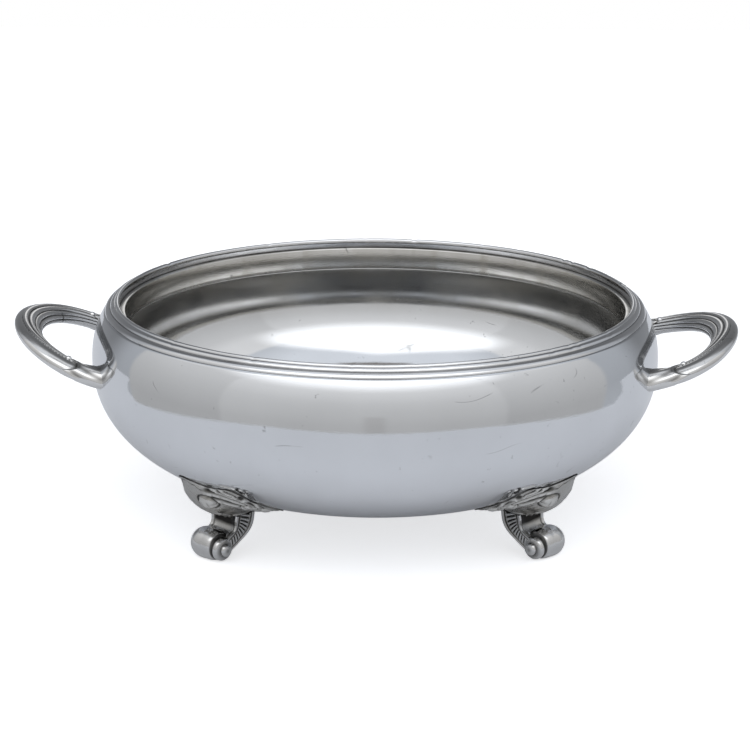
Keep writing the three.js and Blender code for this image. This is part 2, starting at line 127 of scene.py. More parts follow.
def skinned(rings, shades):
    """Vertices, faces and shades of a skin, closed at both ends, over rings of as many points."""
    count = len(rings[0])
    verts = [p for ring in rings for p in ring]
    grime_and_shade = [g for row in shades for g in row]
    faces = []
    for i in range(len(rings) - 1):
        for j in range(count):
            a = i * count + j
            b = i * count + (j + 1) % count
            faces.append([a, b, b + count, a + count])
    faces.append(list(range(count))[::-1])
    faces.append([(len(rings) - 1) * count + j for j in range(count)])
    return verts, faces, grime_and_shade


def outward(obj):
    """Turns an object's faces so that they point outwards."""
    bm = bmesh.new()
    bm.from_mesh(obj.data)
    bmesh.ops.recalc_face_normals(bm, faces=bm.faces)
    bm.to_mesh(obj.data)
    bm.free()
    return obj


def placed(parts, move):
    """The (verts, faces, grime) lists with their vertices moved by a matrix."""
    return [([move @ Vector(v) for v in verts], faces, grime_and_shade) for verts, faces, grime_and_shade in parts]


def join_parts(name, parts, sharp):
    """One object from several (verts, faces, grime) lists."""
    verts, faces, grime_and_shade = [], [], []
    for v, f, g in parts:
        base = len(verts)
        verts += v
        grime_and_shade += g
        faces += [[i + base for i in face] for face in f]
    return new_object(name, verts, faces, grime_and_shade, sharp)


def ball(centre, radius):
    rings, steps = 12, 20
    verts, faces = [], []
    for i in range(rings + 1):
        a = math.pi * i / rings
        for j in range(steps):
            b = 2 * math.pi * j / steps
            verts.append(centre + radius * Vector((
                math.sin(a) * math.cos(b),
                math.sin(a) * math.sin(b),
                math.cos(a),
            )))
    for i in range(rings):
        for j in range(steps):
            k = (j + 1) % steps
            faces.append([i * steps + j, (i + 1) * steps + j, (i + 1) * steps + k, i * steps + k])
    return verts, faces, [0.0] * len(verts)


# Dimensions of the bowl, millimetres, and the number of steps round it

AROUND = 360
RIM_HEIGHT = 78.0
LIP_BORE = 90.5
SEAT_BORE = 88.5
SEAT_TOP = 74.6
SEAT_CLEARANCE = 0.05
SEAT_BOTTOM = 66.1
BOWL_RADIUS = 100.55
WIDEST = 56.5
LOWER_DEPTH = 45.7
WALL = 1.2
MOUTH_RADIUS = 95.6
MOUTH_HEIGHT = 74.4
SIDE_POWER = 2.16
UNDER_POWER = 2.85
SHOULDER_POWER = 2.45


def under(angle):
    """Radius and height from the widest line at 0 down to the axis at a quarter turn."""
    c = max(math.cos(angle), 0.0)
    s = max(math.sin(angle), 0.0)
    return BOWL_RADIUS * c ** (2 / UNDER_POWER), WIDEST - LOWER_DEPTH * s ** (2 / SIDE_POWER)


def under_height(radius):
    """The height of the bowl's underside at a radius."""
    return under(math.acos((radius / BOWL_RADIUS) ** (UNDER_POWER / 2)))[1]


def shoulder(share):
    """Radius and height from the widest line at 0 up to the mouth at 1."""
    r = lerp(BOWL_RADIUS, MOUTH_RADIUS, share**SHOULDER_POWER)
    return r, lerp(WIDEST, MOUTH_HEIGHT, share)


def outside(under_steps, shoulder_steps):
    """The bowl's outer profile, from the axis to the mouth."""
    points = [under(math.pi / 2 * i / under_steps) for i in range(under_steps, 0, -1)]
    points += [shoulder(i / shoulder_steps) for i in range(shoulder_steps + 1)]
    points[0] = (0.0, points[0][1])
    return points


def offset(points, distance):
    """The profile moved outwards, with its ends kept on the axis and level with the mouth."""
    moved = []
    last = len(points) - 1
    for i, (r, z) in enumerate(points):
        a, b = points[max(i - 1, 0)], points[min(i + 1, last)]
        n = Vector((b[1] - a[1], a[0] - b[0])).normalized()
        if i == 0:
            moved.append((0.0, z - distance))
        elif i == last:
            moved.append((r + distance / n.x, z))
        else:
            moved.append((r + n.x * distance, z + n.y * distance))
    return moved


# Materials

DARK = (0.024, 0.023, 0.022)
WARM = (0.42, 0.39, 0.325)
DARK_ROUGHNESS = 0.42
WARM_ROUGHNESS = 0.23
UNEVEN_LEAST, UNEVEN_MOST = 0.75, 1.35
PIT_DARKNESS = 0.35
SCUFF_DARKNESS = 0.4

# Noise scales, per metre
CLOUD_SCALE = 38.0
PATCH_SCALE = 95.0
DRIP_SCALE = 150.0
PIT_SCALE = 420.0
SCUFF_SCALE = 24.0
SCUFF_PLACE_SCALE = 70.0
SCRATCH_SCALE = 260.0
WAVE_SCALE = 16.0

# Heights of the bumps, metres
SCRATCH_HEIGHT = 0.0004
WAVE_HEIGHT = 0.0008

# A scuff shows where its noise is this near to the middle value
SCUFF_MIDDLE, SCUFF_HALF = 0.5, 0.0045


def silver(name, color, rough, scratch=0.5, blotch=0.06, wave=0.2, streak=0.0):
    """Polished plate with fine scratches, tarnish and scuffs, dark where the layer's red is high,
    which paints grime and shade.

    scratch and wave are bump strengths, blotch and streak are amounts of tarnish.
    """
    mat = bpy.data.materials.new(name)
    mat.use_nodes = True
    nodes, links = mat.node_tree.nodes, mat.node_tree.links
    bsdf = nodes["Principled BSDF"]
    bsdf.inputs["Metallic"].default_value = 1.0

    coords = nodes.new("ShaderNodeTexCoord")
    grime_and_shade = nodes.new("ShaderNodeVertexColor")
    grime_and_shade.layer_name = "grime_and_shade"
    wear_and_shade = nodes.new("ShaderNodeSeparateColor")
    links.new(grime_and_shade.outputs["Color"], wear_and_shade.inputs["Color"])

    def texture(scale, detail, vector=None, rough_share=0.5):
        node = nodes.new("ShaderNodeTexNoise")
        node.inputs["Scale"].default_value = scale
        node.inputs["Detail"].default_value = detail
        node.inputs["Roughness"].default_value = rough_share
        links.new(vector or coords.outputs["Object"], node.inputs["Vector"])
        return node.outputs["Fac"]

    def spread(value, low, high, to_low, to_high):
        node = nodes.new("ShaderNodeMapRange")
        node.inputs["From Min"].default_value = low
        node.inputs["From Max"].default_value = high
        node.inputs["To Min"].default_value = to_low
        node.inputs["To Max"].default_value = to_high
        links.new(value, node.inputs["Value"])
        return node.outputs["Result"]

    def blend(factor, a, b):
        node = nodes.new("ShaderNodeMix")
        node.data_type = "RGBA"
        links.new(factor, node.inputs["Factor"])
        for socket, value in (("A", a), ("B", b)):
            if isinstance(value, tuple):
                node.inputs[socket].default_value = (*value, 1)
            else:
                links.new(value, node.inputs[socket])
        return node.outputs["Result"]

    def combine(kind, *values):
        node = nodes.new("ShaderNodeMath")
        node.operation = kind
        node.use_clamp = True
        for socket, value in zip(node.inputs, values):
            if isinstance(value, float):
                socket.default_value = value
            else:
                links.new(value, socket)
        return node.outputs["Value"]

    def stretched(scale, turn):
        node = nodes.new("ShaderNodeMapping")
        node.inputs["Scale"].default_value = scale
        node.inputs["Rotation"].default_value = turn
        links.new(coords.outputs["Object"], node.inputs["Vector"])
        return node.outputs["Vector"]

    cloud = texture(CLOUD_SCALE, 5.0)
    dull_color = tuple(c * (1 - blotch) for c in color)
    bright_color = tuple(min(c * (1 + blotch / 2), 1.0) for c in color)
    clean = blend(spread(cloud, 0.3, 0.72, 0.0, 1.0), dull_color, bright_color)

    patch = texture(PATCH_SCALE, 4.0)
    uneven = spread(patch, 0.25, 0.75, UNEVEN_LEAST, UNEVEN_MOST)
    warm = combine("MULTIPLY", wear_and_shade.outputs["Green"], uneven)
    if streak:
        drips = texture(DRIP_SCALE, 3.0, stretched((1.0, 1.0, 0.08), (0.0, 0.0, 0.0)))
        warm = combine("ADD", warm, spread(drips, 0.5, 0.8, 0.0, streak))
    toned = blend(warm, clean, WARM)

    # dark is grime and painted shade in grooves and recesses, from the layer's red, with pits and
    # scuffs added
    dark = combine("MULTIPLY", wear_and_shade.outputs["Red"], uneven)
    pits = spread(texture(PIT_SCALE, 3.0), 0.70, 0.78, 0.0, PIT_DARKNESS)
    dark = combine("ADD", dark, pits)
    # a few long, thin scuffs, where a slow noise passes its middle value
    curve = texture(SCUFF_SCALE, 1.0, stretched((1.0, 1.0, 2.4), (0.4, 0.2, 0.9)))
    rising = spread(curve, SCUFF_MIDDLE - SCUFF_HALF, SCUFF_MIDDLE, 0.0, 1.0)
    falling = spread(curve, SCUFF_MIDDLE, SCUFF_MIDDLE + SCUFF_HALF, 1.0, 0.0)
    line = combine("MULTIPLY", rising, falling)
    where = spread(texture(SCUFF_PLACE_SCALE, 2.0), 0.60, 0.66, 0.0, SCUFF_DARKNESS)
    dark = combine("ADD", dark, combine("MULTIPLY", line, where))
    links.new(blend(dark, toned, DARK), bsdf.inputs["Base Color"])

    shine = spread(cloud, 0.3, 0.75, rough * 0.8, rough * 1.35)
    gloss = combine("MULTIPLY_ADD", warm, WARM_ROUGHNESS, shine)
    dull = nodes.new("ShaderNodeMix")
    dull.data_type = "FLOAT"
    dull.inputs["B"].default_value = DARK_ROUGHNESS
    links.new(dark, dull.inputs["Factor"])
    links.new(gloss, dull.inputs["A"])
    links.new(dull.outputs["Result"], bsdf.inputs["Roughness"])

    def bump(height, strength, distance, normal=None):
        node = nodes.new("ShaderNodeBump")
        node.inputs["Strength"].default_value = strength
        node.inputs["Distance"].default_value = distance
        links.new(height, node.inputs["Height"])
        if normal:
            links.new(normal, node.inputs["Normal"])
        return node.outputs["Normal"]

    lines = texture(SCRATCH_SCALE, 6.0, stretched((1.0, 1.6, 7.0), (0.3, 0.5, 0.2)), 0.7)
    fine = bump(lines, 0.1 * scratch, SCRATCH_HEIGHT)
    waves = texture(WAVE_SCALE, 2.0)
    links.new(bump(waves, wave, WAVE_HEIGHT, fine), bsdf.inputs["Normal"])
    return mat


def dress(obj, mat, node):
    """Gives an object its material, puts it under the root body and hides the CAD node it stands
    for.
    """
    obj.data.materials.clear()
    obj.data.materials.append(mat)
    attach(obj, "root")
    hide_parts(node)


# Bowl

# Heights between which the lining gets darker and warmer towards the mouth
LINING_DARK_FROM, LINING_DARK_TO = 51.0, 60.0
LINING_WARM_FROM, LINING_WARM_TO = 43.0, 58.0


def make_bowl():
    skin = outside(72, 24)
    lining = offset(outside(60, 20), -WALL)[::-1]
    grime_and_shade = [(0.04 * smoothstep(MOUTH_HEIGHT - 1.0, MOUTH_HEIGHT, z), 0.0) for _, z in skin]
    for _, z in lining:
        dark = 0.08 * smoothstep(LINING_DARK_FROM, LINING_DARK_TO, z)
        warm = lerp(0.04, 0.55, smoothstep(LINING_WARM_FROM, LINING_WARM_TO, z))
        grime_and_shade.append((dark, warm))
    profile = skin + lining
    return outward(turned("bowl_spun", profile, AROUND, grime_and_shade, sharp=60, closed=False))


# Reeded rim: a lip bead at the mouth, then two wider reeds that step down to the bowl

SPIGOT_RADIUS = 93.9
SPIGOT_DEPTH = 1.5
RIM_BASE = RIM_HEIGHT - 3.3
BEAD_RISE = 0.7
BEAD_WIDTH = 1.6
STEP_WIDTH, STEP_DROP = 1.6, 1.3
REED_RISE = 0.45
REED_ROUND = 0.62
EDGE_BELOW_BASE = 0.25

# How far down from the top the lip is worn, and the nicks' depth
WEAR_DEPTH = 2.2
NICK_DEPTH = 0.30


def reed(a, b, rise, steps):
    """Points of a rounded ridge from a, left out, to b."""
    ax, ay = a
    dx, dy = b[0] - a[0], b[1] - a[1]
    length = math.hypot(dx, dy)
    nx, ny = -dy / length, dx / length
    points = []
    for i in range(1, steps + 1):
        s = i / steps
        lift = rise * math.sin(math.pi * s) ** REED_ROUND
        points.append((ax + dx * s + nx * lift, ay + dy * s + ny * lift))
    return points


def rim_wear(r, z, azimuth):
    """Small nicks and dips along the lip, deepest at the back."""
    if z < RIM_HEIGHT - WEAR_DEPTH:
        return r, z
    spot = Vector((14 * math.cos(azimuth), 14 * math.sin(azimuth), 3.1))
    nick = smoothstep(0.32, 0.62, noise.noise(spot * 2.3))
    back = lerp(0.35, 1.0, smoothstep(-0.2, 0.8, math.sin(azimuth)))
    dip = NICK_DEPTH * nick * back + 0.05 * noise.noise(spot * 0.6)
    return r, z - dip * smoothstep(RIM_HEIGHT - WEAR_DEPTH, RIM_HEIGHT - 0.6, z)


def make_rim():
    lip = (LIP_BORE, RIM_HEIGHT - BEAD_RISE)
    first = (LIP_BORE + BEAD_WIDTH, RIM_HEIGHT - BEAD_RISE)
    second = (first[0] + STEP_WIDTH, first[1] - STEP_DROP)
    third = (MOUTH_RADIUS, RIM_BASE - EDGE_BELOW_BASE)
    spigot_end = RIM_BASE - SPIGOT_DEPTH
    profile, grime_and_shade = [], []

    def add(points, values):
        profile.extend(points)
        grime_and_shade.extend(values)

    # painted shade on the spigot and in the gap where the seat ring meets the lip
    add([(SPIGOT_RADIUS, RIM_BASE), (SPIGOT_RADIUS, spigot_end)], [0.5, 0.5])
    add([(LIP_BORE, spigot_end)], [0.9])
    add([(LIP_BORE, SEAT_TOP + SEAT_CLEARANCE), (LIP_BORE, SEAT_TOP + 0.4)], [0.9, (0.25, 0.3)])
    add([(LIP_BORE, lerp(SEAT_TOP, lip[1], 0.6)), lip], [(0.0, 0.12), (0.0, 0.06)])
    ridges = (
        (lip, first, BEAD_RISE, 14, 0.0),
        (first, second, REED_RISE, 14, 0.6),
        (second, third, REED_RISE, 16, 0.6),
    )
    for a, b, rise, steps, depth in ridges:
        shades = []
        for i in range(steps):
            edge = abs(2 * (i + 1) / steps - 1)
            # painted shade darkens the grooves between the reeds, and hardly at all at the rim's
            # outer edge
            last = 0.1 if a is second and i > steps / 2 else 1.0
            shades.append(depth * last * smoothstep(0.7, 1.0, edge))
        add(reed(a, b, rise, steps), shades)
    return outward(turned("rim_reeded", profile, 2 * AROUND, grime_and_shade, sharp=35, worn=rim_wear))


# Seat ring: an upright band inside the mouth

SEAT_BEVEL = 0.25

# The line round its lower end, painted dark as the shade in its gap: radius past the bore, height
# past the bottom, dark and warm
SEAT_END = [
    (0.0, 1.6, 0.0, 0.4), (0.0, 1.1, 0.35, 0.5), (-0.05, 0.75, 0.5, 0.3),
    (-0.05, 0.35, 0.0, 0.0), (0.2, 0.0, 0.1, 0.2), (0.9, 0.0, 0.3, 0.0),
]


def make_seat():
    outer = LIP_BORE - SEAT_CLEARANCE
    profile = [
        (outer, SEAT_BOTTOM + 0.2),
        (outer, SEAT_TOP),
        (SEAT_BORE + SEAT_BEVEL, SEAT_TOP),
        (SEAT_BORE + SEAT_BEVEL * 0.3, SEAT_TOP - SEAT_BEVEL * 0.3),
        (SEAT_BORE, SEAT_TOP - SEAT_BEVEL),
    ]
    # painted shade where the seat ring meets the lip
    grime_and_shade = [0.6, (0.7, 0.3), (0.0, 0.1), (0.0, 0.1), (0.0, 0.25)]
    for r, z, dark, warm in SEAT_END:
        profile.append((SEAT_BORE + r, SEAT_BOTTOM + z))
        grime_and_shade.append((dark, warm))
    return outward(turned("seat_band", profile, AROUND, grime_and_shade, sharp=50))


# Handles: a bar that runs from the root at t = -1 over the tip at 0 to the root at 1

ROOT_R, TIP_R, HALF_SPREAD = 93.5, 124.2, 33.5
ROOT_Z, TIP_Z = 54.8, 66.3
TIP_W, ROOT_W, THICK = 10.2, 8.4, 5.6
LEAN = math.radians(33)
PLAN_POWER, CLIMB_POWER = 0.8, 1.15

# Reeds, between two angles in degrees round the section. They spread from the roots to the tip
REEDS = 5
HANDLE_REED_RISE = 0.5
REEDS_FROM_ROOT, REEDS_FROM_TIP, REEDS_TO = 100, 46, 190

# Sheaths at the roots: where their edge runs along t, at the tips of its lobes and between them,
# and how far they and their veins stand off
SHEATH_START, SHEATH_NOTCH = 0.77, 0.86
SHEATH_TURN = math.radians(118)
SHEATH_RISE, SHEATH_SWELL, VEIN_RISE = 0.45, 0.75, 0.28
ROOT_LIFT = 1.1

# Ranges round the section in radians from its outer side: start, full, fade and end. Shade is
# painted along the sheath's edge in SHEATH_LINE and round the roots in ROOT_SHADE
SHEATH_BELOW = (3.7, 4.4, 5.4, 6.1)
SHEATH_LINE = (0.2, 1.0, 3.4, 4.6)
ROOT_SHADE = (0.6, 1.5, 2.6, 4.0)
NICK_SIDE = (2.0, 2.5, 3.8, 4.2)

# The bead beside each root, and how deep the roots go into the bowl's wall
BEAD_T, BEAD_TURN, BEAD_RADIUS, BEAD_SUNK = 0.765, math.radians(104), 1.15, 0.1
ROOT_DEPTH = 0.85

# How far to each side, along t, a dark mark is all dark, and where it has faded
NICK_HALF_WIDTHS = (0.003, 0.009)

HANDLE_STEPS, HANDLE_AROUND = 300, 180


def handle_point(t, tilt, stretch):
    """The middle of the bar at t; tilt raises the tip and stretch moves it outwards."""
    a = t * math.pi / 2
    reach = max(math.cos(a), 0.0) ** PLAN_POWER
    return Vector((
        lerp(ROOT_R, TIP_R + stretch, reach),
        HALF_SPREAD * math.sin(a),
        lerp(ROOT_Z, TIP_Z, reach**CLIMB_POWER) + tilt * smoothstep(0.0, 0.8, reach),
    ))


def handle_frame(t, tilt, stretch):
    """The middle of the bar at t, and the outward and upward directions of its section."""
    ahead = handle_point(min(t + 0.01, 1.0), tilt, stretch)
    behind = handle_point(max(t - 0.01, -1.0), tilt, stretch)
    along = (ahead - behind).normalized()
    lean = Vector((-math.sin(LEAN), 0, math.cos(LEAN)))
    out = along.cross(lean).normalized()
    up = out.cross(along).normalized()
    return handle_point(t, tilt, stretch), out, up


def handle_ring(t, tilt, stretch, nick):
    """Points, and grime with painted shade, of the section at t, with its reeds and, near the
    root, its sheath.
    """
    place, out, up = handle_frame(t, tilt, stretch)
    tipward = math.cos(t * math.pi / 2)
    width = lerp(ROOT_W, TIP_W, tipward)
    start = math.radians(lerp(REEDS_FROM_ROOT, REEDS_FROM_TIP, tipward**1.5))
    end = math.radians(REEDS_TO)
    pitch = (end - start) / REEDS
    share = max(0.0, (abs(t) - SHEATH_START) / (1 - SHEATH_START))
    points, grime_and_shade = [], []
    for i in range(HANDLE_AROUND):
        a = 2 * math.pi * i / HANDLE_AROUND
        lift, dirt_and_shade = 0.0, 0.0
        # the sheath's edge runs back in two curls on top and one long leaf below
        lobe = abs(math.sin(1.5 * (a - SHEATH_TURN)))
        edge = lerp(SHEATH_START, SHEATH_NOTCH, lobe**0.8)
        cover = smoothstep(edge, edge + 0.02, abs(t))
        if start < a < end and cover < 1:
            s = ((a - start) / pitch) % 1.0
            lift = HANDLE_REED_RISE * math.sin(math.pi * s) ** 0.6 * (1 - cover)
            # painted shade in the grooves between the reeds
            dirt_and_shade = 0.95 * smoothstep(0.62, 0.98, abs(2 * s - 1)) * (1 - cover)
        if cover > 0:
            vein = 0.5 + 0.5 * math.cos(7 * (a - SHEATH_TURN) + 9 * share)
            stand = SHEATH_RISE + VEIN_RISE * vein * (1 - 0.5 * share)
            stand *= 1 - between(a, *SHEATH_BELOW)
            lift += cover * (stand + SHEATH_SWELL * share * share)
            # painted shade between the sheath's veins
            dirt_and_shade = max(dirt_and_shade, 0.5 * (1 - vein) ** 2 * cover * smoothstep(3.6, 2.2, a))
        # painted shade along the sheath's edge, and round the roots where they meet the bowl
        line = 1 - abs(2 * smoothstep(edge - 0.03, edge + 0.02, abs(t)) - 1)
        dirt_and_shade = max(dirt_and_shade, 0.9 * line * between(a, *SHEATH_LINE))
        dirt_and_shade = max(dirt_and_shade, 0.8 * smoothstep(0.93, 1.0, abs(t)) * between(a, *ROOT_SHADE))
        if nick is not None:
            mark = 1 - smoothstep(*NICK_HALF_WIDTHS, abs(t - nick))
            dirt_and_shade = max(dirt_and_shade, mark * between(a, *NICK_SIDE))
        x = (width / 2 + lift) * math.cos(a)
        y = (THICK / 2 + lift) * math.sin(a) + ROOT_LIFT * share * share
        points.append(place + out * x + up * y)
        grime_and_shade.append((dirt_and_shade, 0.1 + 0.25 * dirt_and_shade))
    return points, grime_and_shade


def hug(p, reach):
    """The point moved along X to reach, or no further in than the bowl's wall."""
    stop = BOWL_RADIUS - ROOT_DEPTH
    return Vector((max(reach, math.sqrt(stop**2 - p.y**2)), p.y, p.z))


def make_handle(name, heading, tilt, stretch, nick=None):
    """A handle; nick is where a dark mark crosses its inner side, if it has one."""
    rings, shades = [], []
    for i in range(HANDLE_STEPS + 1):
        s = 2 * i / HANDLE_STEPS - 1
        # the sections stand closer together towards the roots
        t = math.copysign(1 - (1 - abs(s)) ** 1.35, s) if s else 0.0
        points, grime_and_shade = handle_ring(t, tilt, stretch, nick)
        rings.append([hug(p, p.x) for p in points])
        shades.append(grime_and_shade)
    # both ends are closed inside the wall
    rings.insert(0, [hug(p, 0.0) for p in rings[0]])
    rings.append([hug(p, 0.0) for p in rings[-1]])
    shades.insert(0, shades[0])
    shades.append(shades[-1])
    parts = [skinned(rings, shades)]
    for side in (-1, 1):
        place, out, up = handle_frame(side * BEAD_T, tilt, stretch)
        across = out * (ROOT_W / 2 - BEAD_SUNK) * math.cos(BEAD_TURN)
        above = up * (THICK / 2 - BEAD_SUNK) * math.sin(BEAD_TURN)
        parts.append(ball(place + across + above, BEAD_RADIUS))
    parts = placed(parts, Matrix.Rotation(heading, 3, "Z"))
    return outward(join_parts(name, parts, sharp=32))


# Leaf mounts: relief over a dome that lies on the bowl's underside

SHANK_R = 69.65
LEAF_R = 77.4
LEAF_ANGLE = math.acos((LEAF_R / BOWL_RADIUS) ** (UNDER_POWER / 2))
DOME_HALF, DOME_RISE, DOME_UNDER, DOME_POWER = 18.0, 13.5, 16.0, 2.1
DOME_HEIGHT, DOME_EDGE = 6.6, 0.9

# The leaf's middle stands beside the shank, away from the handle
LEAF_SHIFT = 5.6

# How far the leaf's edge and its closed underside stand off the bowl
LEAF_EDGE_RISE, LEAF_UNDER_RISE = 0.3, 0.02

# Flutes: their range round the leaf's centre in degrees, then at its two ends how far out they
# start and how wide they are
FLUTES, FLUTE_RISE = 4, 1.15
FLUTED = (-14, 2, 84, 98)
FLUTE_FROM, FLUTE_WIDTH = (6.9, 8.6), (2.35, 1.7)

# The eye where the flutes meet: its place, the roll round it and its depth
EYE_ACROSS, EYE_UP, EYE_ROLL, EYE_DEPTH = 12.2, 10.4, 0.5, 0.9

# The folds and the edge line on the handle's side, the creases round the lobes, and the veins
FOLD_RISE, EDGE_LINE_DEPTH, CREASE_DEPTH, LEAF_VEIN_RISE = 0.35, 0.25, 0.4, 0.05

# The hood's opening, half along and half across, the depth of its hollow and the roll round it
HOOD_ALONG, HOOD_ACROSS = 3.95, 6.5
HOOD_HOLLOW, HOOD_ROLL = 2.6, 0.7

# The stub under the hood, which the shank stands against: half its size at the bottom, then for
# each ring its height and how much larger it is, the last one inside the bowl's wall
STUB_ALONG, STUB_ACROSS = 3.85, 6.35
STUB_RINGS = ((15.05, 0.0), (15.3, 0.2), (17.0, 0.2), (None, 0.2))
STUB_IN_WALL = 0.5
STUB_SIDES, STUB_POWER = 64, 0.3

# The outline of half a leaf mount, as (across, up) from the top round to the bottom
LEAF_EDGE = [
    (0.0, 12.2), (3.0, 12.8), (6.0, 14.0), (9.0, 15.2), (10.6, 14.8), (12.2, 12.6),
    (13.2, 9.6), (13.6, 5.6), (16.4, 0.8), (20.0, -5.4), (16.4, -6.6), (14.6, -7.4),
    (13.6, -9.0), (11.2, -10.6), (9.6, -13.2), (6.6, -14.0), (4.0, -16.2), (0.0, -16.0),
]

# Raised lobes of the leaf: across towards the front, up, half length, half width, turn in
# degrees, and height
LEAF_LOBES = [
    (-1.2, 6.9, 3.5, 2.2, -12, 1.25), (11.0, 1.0, 3.0, 1.6, -38, 1.25),
    (14.6, -2.6, 3.0, 1.3, -42, 1.125), (10.8, -4.6, 2.4, 1.5, -50, 1.0),
    (17.4, -5.4, 1.9, 0.8, -50, 0.625), (8.4, -9.4, 2.7, 1.7, -62, 1.0),
    (3.2, -12.6, 2.7, 1.6, -80, 1.0), (-7.0, -10.4, 3.4, 1.8, 60, 0.75),
    (-10.6, -3.6, 3.6, 2.0, 75, 0.75),
]


def arc_per_angle():
    """The length along the bowl's profile for each radian at the leaf's middle."""
    half = 0.05
    return math.dist(under(LEAF_ANGLE - half), under(LEAF_ANGLE + half)) / (2 * half)


ARC = arc_per_angle()


def over_bowl(across, up, out):
    """A place measured on the bowl's underside from the leaf's middle, and outwards from it."""
    angle = LEAF_ANGLE - up / ARC
    r, z = under(angle)
    a, b = under(angle + 0.01), under(angle - 0.01)
    n = Vector((b[1] - a[1], a[0] - b[0])).normalized()
    r, z = r + n.x * out, z + n.y * out
    azimuth = across / LEAF_R
    return Vector((r * math.cos(azimuth), r * math.sin(azimuth), z))


def edge_reach(angle):
    """The distance from the leaf's centre to its outline at an angle from straight up."""
    turn = abs((angle + math.pi) % (2 * math.pi) - math.pi)
    polar = [(math.atan2(x, y), math.hypot(x, y)) for x, y in LEAF_EDGE]
    for (a0, r0), (a1, r1) in zip(polar, polar[1:]):
        if turn <= a1 or a1 == polar[-1][0]:
            return lerp(r0, r1, smoothstep(a0, a1, turn))
    return polar[-1][1]


def leaf_relief(x, u):
    """The leaf's relief, and its grime with painted shade that darkens hollows and creases and
    leaves the lobes light, with x from its middle towards the front and u upwards.
    """
    # painted shade over the whole face, which the lobes lose and the hollows deepen
    stand, dirt_and_shade = 0.0, 0.32
    reach = math.hypot(x, u)
    turn = math.degrees(math.atan2(x, u))
    # flutes that follow the upper edge on the front side and run together near its end, with
    # painted shade in their valleys
    together = smoothstep(46, 84, turn)
    count = (reach - lerp(*FLUTE_FROM, together)) / lerp(*FLUTE_WIDTH, together)
    fluted = between(turn, *FLUTED)
    if 0 < count < FLUTES and fluted > 0:
        phase = count % 1.0
        stand += fluted * FLUTE_RISE * (math.sin(math.pi * phase) ** 0.6 - 0.6)
        dirt_and_shade = lerp(dirt_and_shade, smoothstep(0.30, 0.88, abs(2 * phase - 1)), fluted)
    # the side next to the handle is smooth, with a line along its edge and two soft folds, painted
    # dark in the line and between the folds as shade
    if turn < 0:
        edge = edge_reach(math.radians(turn)) - reach
        line = bell(edge - 1.5, 0.35) * smoothstep(0, -14, turn)
        fold = math.sin(turn * 0.115) ** 2 * smoothstep(0, -30, turn)
        stand += FOLD_RISE * fold * smoothstep(14, 6, reach) - EDGE_LINE_DEPTH * line
        valley = smoothstep(0.4, 0.0, fold) * smoothstep(-30, -60, turn)
        dirt_and_shade = max(dirt_and_shade, 0.9 * line, 0.45 * valley)
    # a deep eye where the flutes meet, painted dark as shade
    eye = math.hypot(x - EYE_ACROSS, u - EYE_UP)
    stand += EYE_ROLL * bell(eye - 1.8, 0.5) - EYE_DEPTH * bell(eye, 0.9)
    dirt_and_shade = max(dirt_and_shade, smoothstep(1.6, 0.8, eye))
    # the lobes lose the painted shade, which gathers in the creases round them
    for lobe_x, lobe_u, half_length, half_width, tilt, height in LEAF_LOBES:
        c, s = math.cos(math.radians(tilt)), math.sin(math.radians(tilt))
        p, q = x - lobe_x, u - lobe_u
        d = math.hypot((p * c + q * s) / half_length, (q * c - p * s) / half_width)
        if d < 1:
            share = (1 - d * d) ** 0.6
            stand = lerp(stand, height, share)
            dirt_and_shade *= 1 - share
        crease = bell(d - 1.12, 0.14)
        stand -= CREASE_DEPTH * crease
        dirt_and_shade = max(dirt_and_shade, crease)
    # fine veins, with painted shade in their grooves
    vein = math.sin(x * 2.6 + u * 0.9) * math.sin(u * 1.1)
    stand += LEAF_VEIN_RISE * vein
    return stand, max(dirt_and_shade, 0.3 * smoothstep(0.3, 0.9, -vein))


def dome(x, u):
    """The leaf's swell over the shank, at a place measured from the shank."""
    length = DOME_RISE if u > 0 else DOME_UNDER
    share = (abs(x / DOME_HALF) ** DOME_POWER + abs(u / length) ** DOME_POWER) ** (1 / DOME_POWER)
    return lerp(DOME_EDGE, DOME_HEIGHT, max(1 - share * share, 0.0) ** 1.5)


